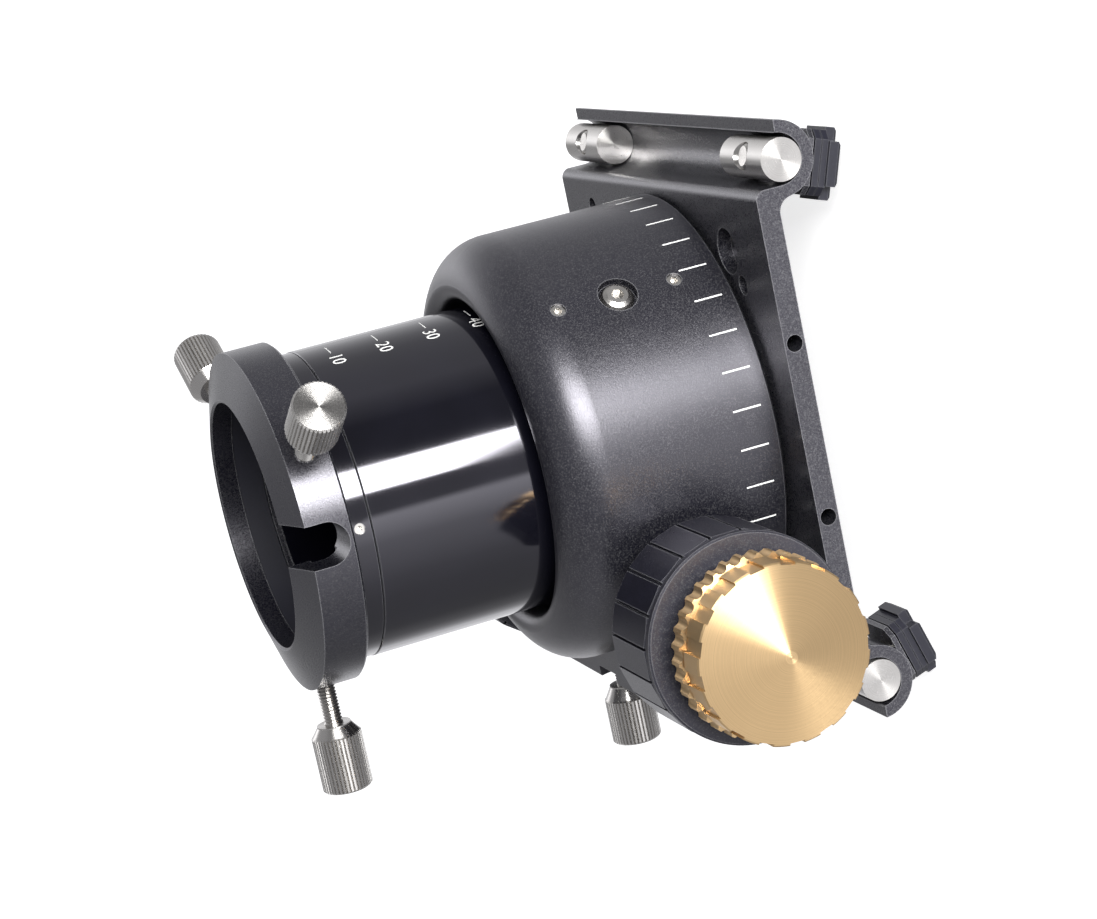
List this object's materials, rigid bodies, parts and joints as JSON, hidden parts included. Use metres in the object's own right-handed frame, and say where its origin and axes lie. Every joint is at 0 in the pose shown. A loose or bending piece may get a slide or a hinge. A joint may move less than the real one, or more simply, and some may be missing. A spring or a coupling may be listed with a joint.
{
  "type": "telescope focuser",
  "caption": "Roller-guided drawtube focuser with coarse and geared fine knobs, eyepiece clamp and a trough base that clamps onto a telescope tube.",
  "frame": {"origin": "on the optical axis, at the base plate's rear face", "axes": "+Z along the optical axis towards the eyepiece; X across the two troughs of the base plate; Y along the troughs, with the fine knob on the -Y side"},
  "size_m": [0.1272, 0.1498, 0.1198],
  "materials": {
    "anodised_body": "black anodised aluminium, fine blasted",
    "anodised_tube": "black anodised aluminium, smooth turned",
    "anodised_plate": "black anodised extrusion, satin",
    "black_inner": "matt black anodised inner surface",
    "knob_black": "black anodised aluminium, satin facets",
    "plastic_black": "moulded black plastic",
    "nylon_white": "natural nylon",
    "steel_bright": "bright turned stainless steel",
    "steel_track": "ground stainless steel",
    "screw_steel": "plain stainless steel screws",
    "bearing_steel": "polished bearing steel",
    "brass": "bright turned brass"
  },
  "bodies": {
    "base": {"base_plate": "anodised_plate", "rotation_flange": "black_inner", "flange_screws": "screw_steel"},
    "focuser_body": {"body_housing": "anodised_body", "flange_lock_screws": "screw_steel", "drive_block": "anodised_body", "block_screws": "screw_steel", "axle_bushes": "brass", "pressure_plate": "nylon_white", "tension_set_screw": "screw_steel", "bearing_carriage_front": "black_inner", "bearing_carriage_back": "black_inner", "bearing_pins": "bearing_steel", "carriage_screws": "screw_steel", "carriage_set_screws": "screw_steel"},
    "lock_screw": {"lock_thumbscrew": "steel_bright"},
    "drive": {"drive_axle": "steel_bright", "coarse_knob_near": "knob_black", "coarse_knob_far": "knob_black", "reducer_disc": "knob_black"},
    "fine_drive": {"fine_knob": "brass"},
    "draw_assembly": {"drawtube": "anodised_tube", "steel_track": "steel_track", "track_screws": "screw_steel", "adapter_band": "anodised_tube", "band_screws": "screw_steel", "eyepiece_clamp": "anodised_body", "compression_ring": "black_inner"},
    "grip_screw_front": {"eyepiece_screw_front": "steel_bright"},
    "grip_screw_upper": {"eyepiece_screw_upper": "steel_bright"},
    "grip_screw_lower": {"eyepiece_screw_lower": "steel_bright"},
    "roller_front_rear": {"bearing_front_rear": "bearing_steel"},
    "roller_front_fore": {"bearing_front_fore": "bearing_steel"},
    "roller_back_rear": {"bearing_back_rear": "bearing_steel"},
    "roller_back_fore": {"bearing_back_fore": "bearing_steel"},
    "swivel_upper_front": {"barrel_rod_upper_front": "steel_bright", "clamp_washer_upper_front": "plastic_black"},
    "tube_screw_upper_front": {"clamp_screw_upper_front": "screw_steel", "clamp_knob_upper_front": "plastic_black"},
    "swivel_upper_back": {"barrel_rod_upper_back": "steel_bright", "clamp_washer_upper_back": "plastic_black"},
    "tube_screw_upper_back": {"clamp_screw_upper_back": "screw_steel", "clamp_knob_upper_back": "plastic_black"},
    "swivel_lower_front": {"barrel_rod_lower_front": "steel_bright", "clamp_washer_lower_front": "plastic_black"},
    "tube_screw_lower_front": {"clamp_screw_lower_front": "screw_steel", "clamp_knob_lower_front": "plastic_black"},
    "swivel_lower_back": {"barrel_rod_lower_back": "steel_bright", "clamp_washer_lower_back": "plastic_black"},
    "tube_screw_lower_back": {"clamp_screw_lower_back": "screw_steel", "clamp_knob_lower_back": "plastic_black"}
  },
  "joints": [
    {"name": "body_turn", "type": "hinge", "parent": "base", "child": "focuser_body", "pos_m": [0, 0, 0.0275], "axis": [0, 0, 1], "continuous": true},
    {"name": "focus_drive", "type": "hinge", "parent": "focuser_body", "child": "drive", "pos_m": [-0.0328, 0, 0.0275], "axis": [0, 1, 0], "range_deg": [-171.9, 1103]},
    {"name": "drawtube_slide", "type": "slide", "parent": "focuser_body", "child": "draw_assembly", "axis": [0, 0, 1], "range_m": [-0.0385, 0.006]},
    {"name": "fine_turn", "type": "hinge", "parent": "focuser_body", "child": "fine_drive", "pos_m": [-0.0328, 0, 0.0275], "axis": [0, 1, 0], "range_deg": [-1719, 11029.6]},
    {"name": "lock_slide", "type": "slide", "parent": "focuser_body", "child": "lock_screw", "axis": [-1, 0, 0], "range_m": [-0.0007, 0.004]},
    {"name": "grip_slide_front", "type": "slide", "parent": "draw_assembly", "child": "grip_screw_front", "axis": [0.5, -0.866, 0], "range_m": [-0.0052, 0.0016]},
    {"name": "grip_slide_upper", "type": "slide", "parent": "draw_assembly", "child": "grip_screw_upper", "axis": [0.5, 0.866, 0], "range_m": [-0.0052, 0.0016]},
    {"name": "grip_slide_lower", "type": "slide", "parent": "draw_assembly", "child": "grip_screw_lower", "axis": [-1, 0, 0], "range_m": [-0.0052, 0.0016]},
    {"name": "roller_turn_front_rear", "type": "hinge", "parent": "focuser_body", "child": "roller_front_rear", "pos_m": [0.02539, -0.02539, 0.0169], "axis": [0.7071, 0.7071, 0], "range_deg": [-551.5, 86]},
    {"name": "roller_turn_front_fore", "type": "hinge", "parent": "focuser_body", "child": "roller_front_fore", "pos_m": [0.02539, -0.02539, 0.0381], "axis": [0.7071, 0.7071, 0], "range_deg": [-551.5, 86]},
    {"name": "roller_turn_back_rear", "type": "hinge", "parent": "focuser_body", "child": "roller_back_rear", "pos_m": [0.02539, 0.02539, 0.0169], "axis": [-0.7071, 0.7071, 0], "range_deg": [-551.5, 86]},
    {"name": "roller_turn_back_fore", "type": "hinge", "parent": "focuser_body", "child": "roller_back_fore", "pos_m": [0.02539, 0.02539, 0.0381], "axis": [-0.7071, 0.7071, 0], "range_deg": [-551.5, 86]},
    {"name": "rod_swivel_upper_front", "type": "hinge", "parent": "base", "child": "swivel_upper_front", "pos_m": [0.05262, -0.0445, -0.00221], "axis": [0, 1, 0], "range_deg": [-18, 12]},
    {"name": "tube_screw_slide_upper_front", "type": "slide", "parent": "swivel_upper_front", "child": "tube_screw_upper_front", "axis": [-0.309, 0, -0.9511], "range_m": [-0.0002, 0.005]},
    {"name": "rod_swivel_upper_back", "type": "hinge", "parent": "base", "child": "swivel_upper_back", "pos_m": [0.05262, 0.0445, -0.00221], "axis": [0, 1, 0], "range_deg": [-18, 12]},
    {"name": "tube_screw_slide_upper_back", "type": "slide", "parent": "swivel_upper_back", "child": "tube_screw_upper_back", "axis": [-0.309, 0, -0.9511], "range_m": [-0.0002, 0.005]},
    {"name": "rod_swivel_lower_front", "type": "hinge", "parent": "base", "child": "swivel_lower_front", "pos_m": [-0.05262, -0.0445, -0.00221], "axis": [0, -1, 0], "range_deg": [-18, 12]},
    {"name": "tube_screw_slide_lower_front", "type": "slide", "parent": "swivel_lower_front", "child": "tube_screw_lower_front", "axis": [0.309, 0, -0.9511], "range_m": [-0.0002, 0.005]},
    {"name": "rod_swivel_lower_back", "type": "hinge", "parent": "base", "child": "swivel_lower_back", "pos_m": [-0.05262, 0.0445, -0.00221], "axis": [0, -1, 0], "range_deg": [-18, 12]},
    {"name": "tube_screw_slide_lower_back", "type": "slide", "parent": "swivel_lower_back", "child": "tube_screw_lower_back", "axis": [0.309, 0, -0.9511], "range_m": [-0.0002, 0.005]}
  ],
  "couplings": [
    {"joint": "focus_drive", "follows": "drawtube_slide", "rad_per_m": -500},
    {"joint": "fine_turn", "follows": "drawtube_slide", "rad_per_m": -5000},
    {"joint": "roller_turn_front_rear", "follows": "drawtube_slide", "rad_per_m": 250},
    {"joint": "roller_turn_front_fore", "follows": "drawtube_slide", "rad_per_m": 250},
    {"joint": "roller_turn_back_rear", "follows": "drawtube_slide", "rad_per_m": 250},
    {"joint": "roller_turn_back_fore", "follows": "drawtube_slide", "rad_per_m": 250}
  ]
}
